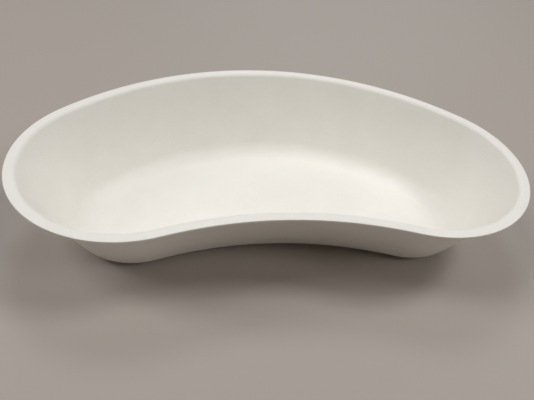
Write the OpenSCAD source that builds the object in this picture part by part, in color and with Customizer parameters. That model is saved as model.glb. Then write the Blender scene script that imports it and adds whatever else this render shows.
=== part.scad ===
// Kidney dish: one thin moulded shell with a flat rim, a leaning wall and a flat floor.
// Seen from above, its rim is four tangent arcs: two round ends, a long convex back and a shallow concave
// front. One wall section, square to that outline, is turned about the centre of each arc and cut off where
// the next arc begins, and a floor plate of the same outline closes the shell.
// Millimetres, X along the length, +Y to the convex back, +Z up, origin on the table under the middle.

/* [Outline of the rim] */
// Overall length, from end to end
dish_length = 250; // [220:1:300]
// Overall width, from the front of the round ends to the crest of the back
dish_width = 139.5; // [125:0.5:160]
// Radius of the two round ends
end_radius = 54.5; // [45:0.5:65]
// How far the front curves in between the round ends
waist_depth = 11.2; // [3:0.1:25]

/* [Section of the wall] */
// Height from the table to the top of the rim
dish_height = 45; // [35:0.5:60]
// Thickness of the moulded sheet
wall_thickness = 1; // [0.6:0.1:2.5]
// Width of the flat top of the rim
rim_flat = 3.2; // [1:0.1:8]
// Inside radius of the bend from the rim into the wall
rim_bend = 1.5; // [0.5:0.1:5]
// Lean of the wall from upright, in degrees, which lets dishes nest
draft_angle = 24; // [5:0.5:32]
// Inside radius of the bend from the wall into the floor
floor_bend = 11; // [4:0.5:20]

/* [Hidden] */
$fn = 180;
pulp_white = [0.93, 0.92, 0.88];

// Flats that make up each bend of the section
bend_steps = 10;
// How far the foot of the wall and the floor plate lap over each other
floor_lap = 2;
// How far neighbouring arcs of the wall run into each other
join_lap = 0.000001;

// Radii of the back and the front, from where they meet the round ends tangentially
end_x = dish_length / 2 - end_radius;
end_y = end_radius - dish_width / 2;
back_reach = dish_width - end_radius;
front_reach = end_radius - waist_depth;
back_radius = (pow(back_reach, 2) + pow(end_x, 2) - pow(end_radius, 2)) / (2 * (back_reach - end_radius));
front_radius = (pow(front_reach, 2) + pow(end_x, 2) - pow(end_radius, 2)) / (2 * waist_depth);

// Centres of the arcs, seen from above
right_end = [end_x, end_y];
left_end = [-end_x, end_y];
back_centre = [0, end_y + back_reach - back_radius];
front_centre = [0, end_y - front_reach - front_radius];

// Sectors of the dish that belong to each arc: neighbours share the line through both of their centres,
// and the round ends run past it by a hair, so that neighbouring walls always overlap
join_reach = 2 * end_radius;
back_join = right_end + join_reach * (right_end - back_centre) / (back_radius - end_radius);
front_join = right_end + join_reach * (front_centre - right_end) / (front_radius + end_radius);
end_sector = [
    for (corner = [right_end, front_join, [dish_length, front_join.y], [dish_length, back_join.y], back_join])
        thousandths(corner) - [join_lap, 0]
];
back_sector = [
    for (corner = [left_end, right_end, back_join, [0, 2 * dish_width], [-back_join.x, back_join.y]])
        thousandths(corner)
];
front_sector = [
    for (corner = [left_end, right_end, front_join, [-front_join.x, front_join.y]])
        thousandths(corner)
];

// Section of the wall, as [distance in from the rim's edge, height]
rim_top_bend = rim_bend + wall_thickness;
floor_under_bend = floor_bend + wall_thickness;
both_bends = rim_top_bend + floor_bend;
wall_drop = dish_height - wall_thickness - both_bends * (1 - sin(draft_angle));
floor_inset = rim_flat + both_bends * cos(draft_angle) + wall_drop * tan(draft_angle);
rim_bend_centre = [rim_flat, dish_height - rim_top_bend];
floor_bend_centre = [floor_inset, wall_thickness + floor_bend];
wall_section = concat(
    [[0, dish_height]],
    bend(rim_bend_centre, rim_top_bend, 90, draft_angle),
    bend(floor_bend_centre, floor_bend, 180 + draft_angle, 270),
    [[floor_inset + floor_lap, wall_thickness], [floor_inset + floor_lap, 0]],
    bend(floor_bend_centre, floor_under_bend, 270, 180 + draft_angle),
    bend(rim_bend_centre, rim_bend, draft_angle, 90),
    [[0, dish_height - wall_thickness]]
);

// A point with its coordinates in whole thousandths
function thousandths(point) = [for (distance = point) round(distance * 1000) / 1000];

// Points along a bend, from one direction to another
function bend(centre, radius, from_angle, to_angle) = [
    for (step = [0:bend_steps])
        let (angle = from_angle + (to_angle - from_angle) * step / bend_steps)
        centre + radius * [cos(angle), sin(angle)]
];

// Moves by whole hundredths and then by the rest, which keeps joining arcs tangent to the last digit
module place(offset) {
    hundredths = [for (distance = offset) round(distance * 100) / 100];
    translate(hundredths)
        translate(offset - hundredths)
            children();
}

// Wall along one arc; the dish lies inside a convex arc and outside a concave one
module wall_arc(centre, radius, sector, concave = false) {
    intersection() {
        place(centre)
            rotate(180)
                rotate_extrude()
                    place([radius, 0])
                        mirror([concave ? 0 : 1, 0])
                            polygon(wall_section);
        linear_extrude(dish_height)
            polygon(sector);
    }
}

// Outline of the dish, moved in from the rim's edge by an inset
module outline(inset) {
    for (side = [0, 1])
        mirror([side, 0])
            intersection() {
                place(right_end)
                    circle(r = end_radius - inset);
                polygon(end_sector);
            }
    intersection() {
        place(back_centre)
            circle(r = back_radius - inset);
        polygon(back_sector);
    }
    difference() {
        polygon(front_sector);
        place(front_centre)
            circle(r = front_radius + inset);
    }
}

// The whole dish, which is moulded in one piece
module dish() {
    color(pulp_white) {
        for (side = [0, 1])
            mirror([side, 0, 0])
                wall_arc(right_end, end_radius, end_sector);
        wall_arc(back_centre, back_radius, back_sector);
        wall_arc(front_centre, front_radius, front_sector, concave = true);
        linear_extrude(wall_thickness)
            outline(floor_inset + floor_lap / 2);
    }
}

dish();
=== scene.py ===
"""Kidney dish of moulded pulp on a plain table, seen from the photograph's viewing angle.

The dish is one sheet. Its section is drawn as a line at the middle of the front, swept round the arcs of the
rim, closed with a floor and given its thickness. Lengths are in metres, in the frame of the CAD model.
"""

import logging
import math
from collections.abc import Callable
from dataclasses import dataclass, field
from enum import Enum

import bmesh
import bpy
from mathutils import Matrix, Vector

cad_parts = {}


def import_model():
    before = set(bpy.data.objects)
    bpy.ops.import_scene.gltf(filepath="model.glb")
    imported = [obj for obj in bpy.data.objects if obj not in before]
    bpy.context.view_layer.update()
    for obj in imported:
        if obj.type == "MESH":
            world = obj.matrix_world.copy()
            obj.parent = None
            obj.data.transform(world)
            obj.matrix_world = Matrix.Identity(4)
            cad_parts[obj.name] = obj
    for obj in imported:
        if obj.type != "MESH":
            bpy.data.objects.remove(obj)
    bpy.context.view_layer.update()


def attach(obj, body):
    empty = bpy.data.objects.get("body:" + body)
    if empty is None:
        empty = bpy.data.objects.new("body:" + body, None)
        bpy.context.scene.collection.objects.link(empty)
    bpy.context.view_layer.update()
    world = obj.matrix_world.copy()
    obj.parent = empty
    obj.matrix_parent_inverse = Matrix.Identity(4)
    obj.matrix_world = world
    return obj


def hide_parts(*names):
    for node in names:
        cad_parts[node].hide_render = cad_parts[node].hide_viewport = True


LOG = logging.getLogger("kidney_dish")
MM = 0.001

Colour = tuple[float, float, float]
Point = tuple[float, float, float]

ALONG: Point = (1.0, 0.0, 0.0)
UP: Point = (0.0, 0.0, 1.0)


class Turn(Enum):
    """Way round in which a sweep goes, seen from above."""

    ANTICLOCKWISE = 1
    CLOCKWISE = -1


@dataclass(frozen=True)
class Sweep:
    """One arc of the rim, about which the section of the dish is turned."""

    centre: Point
    angle: float
    steps: int
    turn: Turn = Turn.ANTICLOCKWISE


@dataclass
class RimOutline:
    """Plan of the rim: two round ends, a long convex back and a shallow concave front."""

    length: float = 250.0 * MM
    width: float = 139.5 * MM
    end_radius: float = 54.5 * MM
    waist_depth: float = 11.2 * MM
    end_steps: int = 72
    back_steps: int = 110
    half_front_steps: int = 26

    @property
    def end_x(self) -> float:
        """Distance of each end's centre from the middle of the dish."""
        return self.length / 2 - self.end_radius

    @property
    def end_y(self) -> float:
        """Place of the ends' centres across the dish."""
        return self.end_radius - self.width / 2

    @property
    def front_y(self) -> float:
        """Place of the rim's edge at the middle of the front."""
        return self.end_y - self.end_radius + self.waist_depth

    def sweeps(self) -> list[Sweep]:
        """Arcs of the rim, anticlockwise from the middle of the front.

        Returns:
            The sweeps that carry the section once round the dish.
        """
        back_reach = self.width - self.end_radius
        front_reach = self.end_radius - self.waist_depth
        across = self.end_x**2 - self.end_radius**2
        back_radius = (back_reach**2 + across) / (2 * (back_reach - self.end_radius))
        front_radius = (front_reach**2 + across) / (2 * self.waist_depth)
        back_y = self.end_y + back_reach - back_radius
        front_y = self.end_y - front_reach - front_radius
        back_half = math.atan2(self.end_x, self.end_y - back_y)
        front_half = math.atan2(self.end_x, self.end_y - front_y)
        end_angle = math.pi - back_half + front_half
        half_front = Sweep((0.0, front_y, 0.0), front_half, self.half_front_steps, Turn.CLOCKWISE)
        return [
            half_front,
            Sweep((self.end_x, self.end_y, 0.0), end_angle, self.end_steps),
            Sweep((0.0, back_y, 0.0), 2 * back_half, self.back_steps),
            Sweep((-self.end_x, self.end_y, 0.0), end_angle, self.end_steps),
            half_front,
        ]


@dataclass
class WallSection:
    """Inside line of the sheet from the rim's edge to the floor."""

    height: float = 45.0 * MM
    thickness: float = 1.0 * MM
    rim_flat: float = 3.2 * MM
    rim_bend: float = 1.5 * MM
    draft_angle: float = math.radians(24.0)
    floor_bend: float = 11.0 * MM
    rim_bend_steps: int = 10
    floor_bend_steps: int = 16
    wall_steps: int = 8

    @property
    def rim_top_bend(self) -> float:
        """Radius of the bend from the rim into the wall, on its upper side."""
        return self.rim_bend + self.thickness

    @property
    def bend_angle(self) -> float:
        """Angle through which both bends turn the sheet."""
        return math.pi / 2 - self.draft_angle

    @property
    def wall_drop(self) -> float:
        """Height of the straight part of the wall."""
        bends = self.rim_top_bend + self.floor_bend
        return self.height - self.thickness - bends * (1 - math.sin(self.draft_angle))


class MeshBench:
    """Edit-mode work on one object: choosing parts of its mesh and running operators on them."""

    def __init__(self, piece: bpy.types.Object) -> None:
        """Takes the object that is worked on.

        Args:
            piece: Mesh object that is active and in edit mode.
        """
        self.piece = piece

    def choose(self, test: Callable[[Vector], bool]) -> None:
        """Selects the vertices that pass a test, and no others.

        Args:
            test: Says of a vertex's place whether it is chosen.
        """
        bpy.ops.mesh.select_mode(type="VERT")
        bpy.ops.mesh.select_all(action="DESELECT")
        mesh = bmesh.from_edit_mesh(self.piece.data)
        for vertex in mesh.verts:
            if test(vertex.co):
                vertex.select_set(True)
        mesh.select_flush(True)
        bmesh.update_edit_mesh(self.piece.data)

    def extrude(self, move: Point, steps: int = 1) -> None:
        """Extrudes the selection along a straight line.

        Args:
            move: The whole way.
            steps: Equal parts that the way is made in.
        """
        part = tuple(distance / steps for distance in move)
        for _ in range(steps):
            bpy.ops.mesh.extrude_region_move(TRANSFORM_OT_translate={"value": part})

    def spin(self, centre: Point | Vector, axis: Point, angle: float, steps: int) -> None:
        """Sweeps the selection round an axis. The operator itself turns clockwise.

        Args:
            centre: Point on the axis.
            axis: Direction of the axis.
            angle: Angle of the sweep, anticlockwise seen from the tip of the axis.
            steps: Parts that the sweep is made in.
        """
        bpy.ops.mesh.spin(steps=steps, angle=-angle, center=centre, axis=axis)

    def modify(self, kind: str, **settings: object) -> None:
        """Adds a modifier to the object and applies it, in object mode.

        Args:
            kind: Type of modifier.
            settings: Values of the modifier.
        """
        modifier = self.piece.modifiers.new(kind.title(), kind)
        for name, value in settings.items():
            setattr(modifier, name, value)
        bpy.ops.object.modifier_apply(modifier=modifier.name)


class NodeBench:
    """Nodes of a material, a group or the world, with short ways to place and join them."""

    MIX_SHARE = 0
    MIX_COLOURS = (6, 7)
    MIXED_COLOUR = 2

    def __init__(self, tree: bpy.types.NodeTree) -> None:
        """Takes the tree that is worked on.

        Args:
            tree: Node tree of a material, a group or the world.
        """
        self.tree = tree

    def node(
        self, kind: str, inputs: dict[str | int, object] | None = None, **settings: object
    ) -> bpy.types.Node:
        """Adds a node.

        Args:
            kind: Type of the node, without its common prefix.
            inputs: Values or output sockets for its inputs, by name or number.
            settings: Its own settings, which aren't sockets.

        Returns:
            The new node.
        """
        node = self.tree.nodes.new("ShaderNode" + kind)
        for name, value in settings.items():
            setattr(node, name, value)
        for name, value in (inputs or {}).items():
            self.feed(node, name, value)
        return node

    def feed(self, node: bpy.types.Node, name: str | int, value: object) -> None:
        """Sets an input to a value, or links an output to it.

        Args:
            node: The node with the input.
            name: Name or number of the input.
            value: A number, a colour, a vector or an output socket.
        """
        if isinstance(value, bpy.types.NodeSocket):
            self.tree.links.new(value, node.inputs[name])
        else:
            node.inputs[name].default_value = value

    def maths(self, operation: str, first: object, second: object) -> bpy.types.NodeSocket:
        """Adds a sum, product or the like of two values.

        Args:
            operation: Name of the operation.
            first: A number or an output socket.
            second: A number or an output socket.

        Returns:
            The output with the result.
        """
        return self.node("Math", {0: first, 1: second}, operation=operation).outputs[0]

    def blend(self, share: object, first: object, second: object) -> bpy.types.NodeSocket:
        """Adds a mix of two colours.

        Args:
            share: Share of the second colour, a number or an output socket.
            first: A colour or an output socket.
            second: A colour or an output socket.

        Returns:
            The output with the mixed colour.
        """
        inputs = dict(zip((self.MIX_SHARE, *self.MIX_COLOURS), (share, first, second)))
        return self.node("Mix", inputs, data_type="RGBA").outputs[self.MIXED_COLOUR]

    def ramp(
        self, value: object, low: object, high: object, to_low: float = 0.0, to_high: float = 1.0
    ) -> bpy.types.NodeSocket:
        """Adds a smooth ramp of a value between two ends.

        Args:
            value: Output socket that is mapped.
            low: Value at which the ramp starts.
            high: Value at which it ends.
            to_low: Result at the start.
            to_high: Result at the end.

        Returns:
            The output with the result.
        """
        inputs = {"Value": value, "From Min": low, "From Max": high, "To Min": to_low, "To Max": to_high}
        return self.node("MapRange", inputs, interpolation_type="SMOOTHSTEP").outputs[0]


class PulpEffects:
    """Effects that the sides of the moulded sheet share, each a node group that is built once."""

    CLOUD = "pulp_cloud"
    FIBRES = "pulp_fibres"
    FIBRE_EDGE = 0.08
    SETTLED = (0.3, 0.7)
    FIBRE_TURNS: tuple[Point, ...] = ((0.3, 0.2, 0.0), (1.1, 0.4, 2.1), (0.7, 1.9, 0.9), (2.0, 1.2, 0.5))

    @staticmethod
    def _new_group(name: str, inputs: dict[str, str], outputs: dict[str, str]) -> NodeBench:
        """Starts a node group.

        Args:
            name: Name of the group.
            inputs: Types of its inputs, by name.
            outputs: Types of its outputs, by name.

        Returns:
            A bench for its nodes.
        """
        tree = bpy.data.node_groups.new(name, "ShaderNodeTree")
        for socket, kind in inputs.items():
            tree.interface.new_socket(socket, in_out="INPUT", socket_type="NodeSocket" + kind)
        for socket, kind in outputs.items():
            tree.interface.new_socket(socket, in_out="OUTPUT", socket_type="NodeSocket" + kind)
        return NodeBench(tree)

    @classmethod
    def cloud(cls) -> bpy.types.NodeTree:
        """Uneven settling of the pulp: broad soft clouds and a fine grain.

        Returns:
            A group with the outputs Cloud and Grain, from 0 to 1.
        """
        if cls.CLOUD in bpy.data.node_groups:
            return bpy.data.node_groups[cls.CLOUD]
        inputs = {"Vector": "Vector", "Cloud Scale": "Float", "Grain Scale": "Float"}
        bench = cls._new_group(cls.CLOUD, inputs, {"Cloud": "Float", "Grain": "Float"})
        given = bench.tree.nodes.new("NodeGroupInput").outputs
        cloud = bench.node(
            "TexNoise",
            {"Vector": given["Vector"], "Scale": given["Cloud Scale"], "Detail": 4.0, "Roughness": 0.55},
        )
        grain = bench.node(
            "TexNoise",
            {"Vector": given["Vector"], "Scale": given["Grain Scale"], "Detail": 3.0, "Roughness": 0.6},
        )
        result = bench.tree.nodes.new("NodeGroupOutput")
        bench.feed(result, "Cloud", bench.ramp(cloud.outputs["Fac"], *cls.SETTLED))
        bench.feed(result, "Grain", bench.ramp(grain.outputs["Fac"], *cls.SETTLED))
        return bench.tree

    @classmethod
    def fibres(cls) -> bpy.types.NodeTree:
        """Short fibres that lie in the sheet in several directions.

        Returns:
            A group with the output Fibres, 1 on a fibre and 0 between them.
        """
        if cls.FIBRES in bpy.data.node_groups:
            return bpy.data.node_groups[cls.FIBRES]
        inputs = {"Vector": "Vector", "Fineness": "Vector", "Threshold": "Float"}
        bench = cls._new_group(cls.FIBRES, inputs, {"Fibres": "Float"})
        given = bench.tree.nodes.new("NodeGroupInput").outputs
        full = bench.maths("ADD", given["Threshold"], cls.FIBRE_EDGE)
        lying: bpy.types.NodeSocket | float = 0.0
        for turn in cls.FIBRE_TURNS:
            turned = bench.node(
                "VectorRotate", {"Vector": given["Vector"], "Rotation": turn}, rotation_type="EULER_XYZ"
            )
            drawn_out = bench.node(
                "VectorMath", {0: turned.outputs[0], 1: given["Fineness"]}, operation="MULTIPLY"
            )
            threads = bench.node(
                "TexNoise", {"Vector": drawn_out.outputs[0], "Scale": 1.0, "Detail": 1.0, "Distortion": 0.6}
            )
            mask = bench.ramp(threads.outputs["Fac"], given["Threshold"], full)
            lying = bench.maths("MAXIMUM", lying, mask)
        bench.feed(bench.tree.nodes.new("NodeGroupOutput"), "Fibres", lying)
        return bench.tree


@dataclass(frozen=True)
class PulpFinish:
    """Off-white moulded pulp with a faint sheen, as one side of the sheet shows it."""

    name: str
    colour: Colour = (0.930, 0.908, 0.848)
    shade: Colour = (0.912, 0.887, 0.825)
    fibre_colour: Colour = (0.76, 0.70, 0.61)
    fibre_tint: float = 0.18
    fibre_fineness: Point = (260.0, 2600.0, 2600.0)
    fibre_threshold: float = 0.64
    cloud_scale: float = 52.0
    grain_scale: float = 1500.0
    grain_depth: float = 0.018 * MM
    fibre_depth: float = 0.5
    roughest: float = 0.54
    smoothest: float = 0.42

    def material(self) -> bpy.types.Material:
        """Makes the material.

        Returns:
            A procedural material for this side of the sheet.
        """
        material = bpy.data.materials.new(self.name)
        material.use_nodes = True
        bench = NodeBench(material.node_tree)
        place = bench.node("TexCoord").outputs["Object"]
        cloud = self._group(bench, PulpEffects.cloud(), place)
        bench.feed(cloud, "Cloud Scale", self.cloud_scale)
        bench.feed(cloud, "Grain Scale", self.grain_scale)
        fibres = self._group(bench, PulpEffects.fibres(), place)
        bench.feed(fibres, "Fineness", self.fibre_fineness)
        bench.feed(fibres, "Threshold", self.fibre_threshold)
        settled = bench.blend(cloud.outputs["Cloud"], (*self.shade, 1.0), (*self.colour, 1.0))
        share = bench.maths("MULTIPLY", fibres.outputs["Fibres"], self.fibre_tint)
        tinted = bench.blend(share, settled, (*self.fibre_colour, 1.0))
        raised = bench.maths("MULTIPLY", fibres.outputs["Fibres"], self.fibre_depth)
        bump = bench.node(
            "Bump",
            {"Height": bench.maths("ADD", cloud.outputs["Grain"], raised), "Distance": self.grain_depth},
        )
        shader = material.node_tree.nodes["Principled BSDF"]
        bench.feed(shader, "Base Color", tinted)
        bench.feed(
            shader, "Roughness", bench.ramp(cloud.outputs["Grain"], 0.0, 1.0, self.smoothest, self.roughest)
        )
        bench.feed(shader, "Normal", bump.outputs["Normal"])
        return material

    @staticmethod
    def _group(bench: NodeBench, tree: bpy.types.NodeTree, place: bpy.types.NodeSocket) -> bpy.types.Node:
        """Places a shared effect in the material.

        Args:
            bench: Bench of the material.
            tree: Node group of the effect.
            place: Coordinates that it follows.

        Returns:
            The group's node.
        """
        return bench.node("Group", {"Vector": place}, node_tree=tree)


class SheetSide(Enum):
    """Sides of the moulded sheet, in the order of the dish's materials."""

    INSIDE = PulpFinish("pulp_inside")
    OUTSIDE = PulpFinish(
        "pulp_outside", grain_scale=1100.0, grain_depth=0.035 * MM, roughest=0.7, smoothest=0.55
    )
    TRIMMED = PulpFinish(
        "pulp_trimmed", fibre_tint=0.3, grain_depth=0.05 * MM, fibre_depth=0.9, roughest=0.9, smoothest=0.75
    )


@dataclass
class KidneyDish:
    """The dish: rim, wall and floor, moulded in one sheet."""

    outline: RimOutline = field(default_factory=RimOutline)
    section: WallSection = field(default_factory=WallSection)
    edge_round: float = 0.22 * MM
    edge_steps: int = 3
    edge_angle: float = math.radians(50.0)
    smooth_angle: float = math.radians(35.0)
    floor_rings: int = 3
    floor_ring_width: float = 4.0 * MM
    near: float = 0.01 * MM

    def build(self) -> bpy.types.Object:
        """Models the dish.

        Returns:
            The finished mesh object, at the origin.
        """
        bench = self._start_rim_line()
        self._draw_section(bench)
        self._sweep_round(bench)
        self._close_floor(bench)
        self._dress(bench.piece)
        self._thicken(bench)
        return bench.piece

    def _start_rim_line(self) -> MeshBench:
        """Makes the flat of the rim at the middle of the front, as a line.

        Returns:
            The bench with the line, in edit mode.
        """
        flat, front_y = self.section.rim_flat, self.outline.front_y
        bpy.ops.object.select_all(action="DESELECT")
        bpy.ops.mesh.primitive_plane_add(
            size=flat, location=(flat / 2, front_y + flat / 2, self.section.height)
        )
        piece = bpy.context.object
        piece.name = "kidney_dish"
        piece.data.name = "kidney_dish"
        bpy.ops.object.transform_apply(location=True, rotation=True, scale=True)
        bpy.ops.object.mode_set(mode="EDIT")
        bench = MeshBench(piece)
        bench.choose(lambda place: place.x > flat / 2)
        bpy.ops.mesh.delete(type="VERT")
        return bench

    def _draw_section(self, bench: MeshBench) -> None:
        """Continues the line of the rim down the wall to the floor.

        Args:
            bench: The bench with the line.
        """
        section, front_y = self.section, self.outline.front_y
        drop = section.wall_drop
        lean = drop * math.tan(section.draft_angle)
        rim_centre = Vector((0.0, front_y + section.rim_flat, section.height - section.rim_top_bend))
        across = (section.rim_top_bend + section.floor_bend) * math.cos(section.draft_angle)
        floor_centre = Vector(
            (0.0, rim_centre.y + across + lean, section.thickness + section.floor_bend)
        )
        bench.choose(lambda place: place.y > rim_centre.y - self.near)
        bench.spin(rim_centre, ALONG, -section.bend_angle, section.rim_bend_steps)
        bench.extrude((0.0, lean, -drop), section.wall_steps)
        bench.spin(floor_centre, ALONG, section.bend_angle, section.floor_bend_steps)

    def _sweep_round(self, bench: MeshBench) -> None:
        """Sweeps the section once round the arcs of the rim and joins its ends.

        Args:
            bench: The bench with the section.
        """
        bpy.ops.mesh.select_all(action="SELECT")
        for sweep in self.outline.sweeps():
            bench.spin(sweep.centre, UP, sweep.turn.value * sweep.angle, sweep.steps)
        bpy.ops.mesh.select_all(action="SELECT")
        bpy.ops.mesh.remove_doubles(threshold=self.near)

    def _close_floor(self, bench: MeshBench) -> None:
        """Fills the floor inside the foot of the wall and faces the sheet upwards.

        Args:
            bench: The bench with the swept wall.
        """
        floor_z = self.section.thickness + self.near
        bench.choose(lambda place: place.z < floor_z)
        bpy.ops.mesh.edge_face_add()
        for _ in range(self.floor_rings):
            bpy.ops.mesh.inset(thickness=self.floor_ring_width)
        bpy.ops.mesh.select_all(action="SELECT")
        bpy.ops.mesh.normals_make_consistent(inside=False)
        mesh = bmesh.from_edit_mesh(bench.piece.data)
        floor = min(mesh.faces, key=lambda face: face.calc_center_median().z)
        if floor.normal.z < 0:
            bpy.ops.mesh.flip_normals()

    def _dress(self, piece: bpy.types.Object) -> None:
        """Gives the dish a material for each side of the sheet.

        Args:
            piece: The dish, whose faces are still only those of the inside.
        """
        for side in SheetSide:
            piece.data.materials.append(side.value.material())

    def _thicken(self, bench: MeshBench) -> None:
        """Gives the sheet its thickness below and outside, and eases the trimmed edge of the rim.

        Args:
            bench: The bench with the closed sheet.
        """
        sides = list(SheetSide)
        bpy.ops.object.mode_set(mode="OBJECT")
        bench.modify(
            "SOLIDIFY",
            thickness=self.section.thickness,
            offset=-1.0,
            use_even_offset=True,
            material_offset=sides.index(SheetSide.OUTSIDE),
            material_offset_rim=sides.index(SheetSide.TRIMMED),
        )
        bench.modify(
            "BEVEL",
            width=self.edge_round,
            segments=self.edge_steps,
            limit_method="ANGLE",
            angle_limit=self.edge_angle,
        )
        bpy.ops.object.shade_smooth_by_angle(angle=self.smooth_angle)


@dataclass(frozen=True)
class TableFinish:
    """Plain warm grey table top."""

    colour: Colour = (0.428, 0.384, 0.345)
    roughness: float = 0.58

    def material(self) -> bpy.types.Material:
        """Makes the material.

        Returns:
            A plain material for the table.
        """
        material = bpy.data.materials.new("table_top")
        material.use_nodes = True
        shader = material.node_tree.nodes["Principled BSDF"]
        shader.inputs["Base Color"].default_value = (*self.colour, 1.0)
        shader.inputs["Roughness"].default_value = self.roughness
        return material


@dataclass(frozen=True)
class SoftLamp:
    """One soft panel that hangs over the table and faces the dish."""

    name: str
    bearing: float
    elevation: float
    power: float
    size: tuple[float, float] = (0.35, 0.35)
    colour: Colour = (1.0, 1.0, 1.0)
    distance: float = 1.5

    def add(self) -> None:
        """Adds the lamp to the scene."""
        bearing, elevation = math.radians(self.bearing), math.radians(self.elevation)
        level = math.cos(elevation)
        outward = Vector((level * math.sin(bearing), level * math.cos(bearing), math.sin(elevation)))
        light = bpy.data.lights.new(self.name, "AREA")
        light.shape = "RECTANGLE"
        light.size, light.size_y = self.size
        light.energy = self.power
        light.color = self.colour
        lamp = bpy.data.objects.new(self.name, light)
        turned = (-outward).to_track_quat("-Z", "Y").to_matrix().to_4x4()
        lamp.matrix_world = Matrix.Translation(self.distance * outward) @ turned
        bpy.context.scene.collection.objects.link(lamp)


@dataclass
class PhotoCamera:
    """Camera at the photograph's place and direction."""

    place: Point = (-35.2455 * MM, -189.769 * MM, 181.8787 * MM)
    pitch: float = math.radians(43.2462)
    yaw: float = math.radians(10.1571)
    roll: float = math.radians(-6.8846)
    lens: float = 30.911
    sensor: float = 36.0
    nearest: float = 1.0 * MM

    def add(self) -> None:
        """Adds the camera and makes it the scene's own."""
        forward = Vector(
            (
                math.sin(self.yaw) * math.cos(self.pitch),
                math.cos(self.yaw) * math.cos(self.pitch),
                -math.sin(self.pitch),
            )
        )
        level_right = Vector((math.cos(self.yaw), -math.sin(self.yaw), 0.0))
        level_down = forward.cross(level_right)
        right = math.cos(self.roll) * level_right + math.sin(self.roll) * level_down
        down = math.cos(self.roll) * level_down - math.sin(self.roll) * level_right
        data = bpy.data.cameras.new("photo_camera")
        data.sensor_fit = "HORIZONTAL"
        data.sensor_width = self.sensor
        data.lens = self.lens
        data.clip_start = self.nearest
        camera = bpy.data.objects.new("photo_camera", data)
        turned = Matrix((right, -down, -forward)).transposed().to_4x4()
        camera.matrix_world = Matrix.Translation(self.place) @ turned
        bpy.context.scene.collection.objects.link(camera)
        bpy.context.scene.camera = camera


@dataclass
class Studio:
    """Table, lamps, daylight and camera round the dish."""

    table_radius: float = 3.0
    table_sides: int = 128
    sky: Colour = (1.0, 0.88, 0.77)
    sky_strength: float = 0.088
    backdrop: Colour = (0.18, 0.168, 0.154)
    lamps: tuple[SoftLamp, ...] = (
        SoftLamp("right_panel", 90.0, 58.0, 6.2),
        SoftLamp("front_panel", 124.0, 44.0, 3.3),
        SoftLamp("left_high_panel", 268.0, 59.0, 4.15, (0.35, 0.45)),
        SoftLamp("left_low_panel", 278.0, 37.0, 5.25, (0.35, 0.55)),
        SoftLamp("back_panel", 0.0, 61.0, 2.85, colour=(0.86, 0.90, 1.0)),
        SoftLamp("far_panel", 17.0, 27.0, 1.8, (0.9, 0.35)),
    )
    camera: PhotoCamera = field(default_factory=PhotoCamera)
    table_finish: TableFinish = field(default_factory=TableFinish)

    def build(self) -> None:
        """Sets up everything that isn't part of the dish."""
        bpy.context.scene.view_settings.view_transform = "Standard"
        self._lay_table()
        self._light_room()
        for lamp in self.lamps:
            lamp.add()
        self.camera.add()

    def _lay_table(self) -> None:
        """Lays the table top under the dish."""
        bpy.ops.object.select_all(action="DESELECT")
        bpy.ops.mesh.primitive_circle_add(
            vertices=self.table_sides, radius=self.table_radius, fill_type="NGON"
        )
        table = bpy.context.object
        table.name = "table_top"
        table.data.materials.append(self.table_finish.material())

    def _light_room(self) -> None:
        """Gives the room an even light, and a paler backdrop where it is seen or mirrored."""
        world = bpy.data.worlds.new("room")
        world.use_nodes = True
        bench = NodeBench(world.node_tree)
        daylight = world.node_tree.nodes["Background"]
        bench.feed(daylight, "Color", (*self.sky, 1.0))
        bench.feed(daylight, "Strength", self.sky_strength)
        backdrop = bench.node("Background", {"Color": (*self.backdrop, 1.0), "Strength": 1.0})
        path = bench.node("LightPath").outputs
        mirrored = bench.maths("MAXIMUM", path["Is Glossy Ray"], path["Is Transmission Ray"])
        shown = bench.maths("MAXIMUM", path["Is Camera Ray"], mirrored)
        room = bench.node("MixShader", {0: shown, 1: daylight.outputs[0], 2: backdrop.outputs[0]})
        bench.feed(world.node_tree.nodes["World Output"], "Surface", room.outputs[0])
        bpy.context.scene.world = world


def main() -> None:
    """Builds the dish and the studio in the frame of the CAD model."""
    logging.basicConfig(level=logging.INFO, format="%(message)s")
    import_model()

    dish = KidneyDish().build()
    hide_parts("dish")
    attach(dish, "root")
    LOG.info("%s: %d faces", dish.name, len(dish.data.polygons))

    Studio().build()


if __name__ == "__main__":
    main()
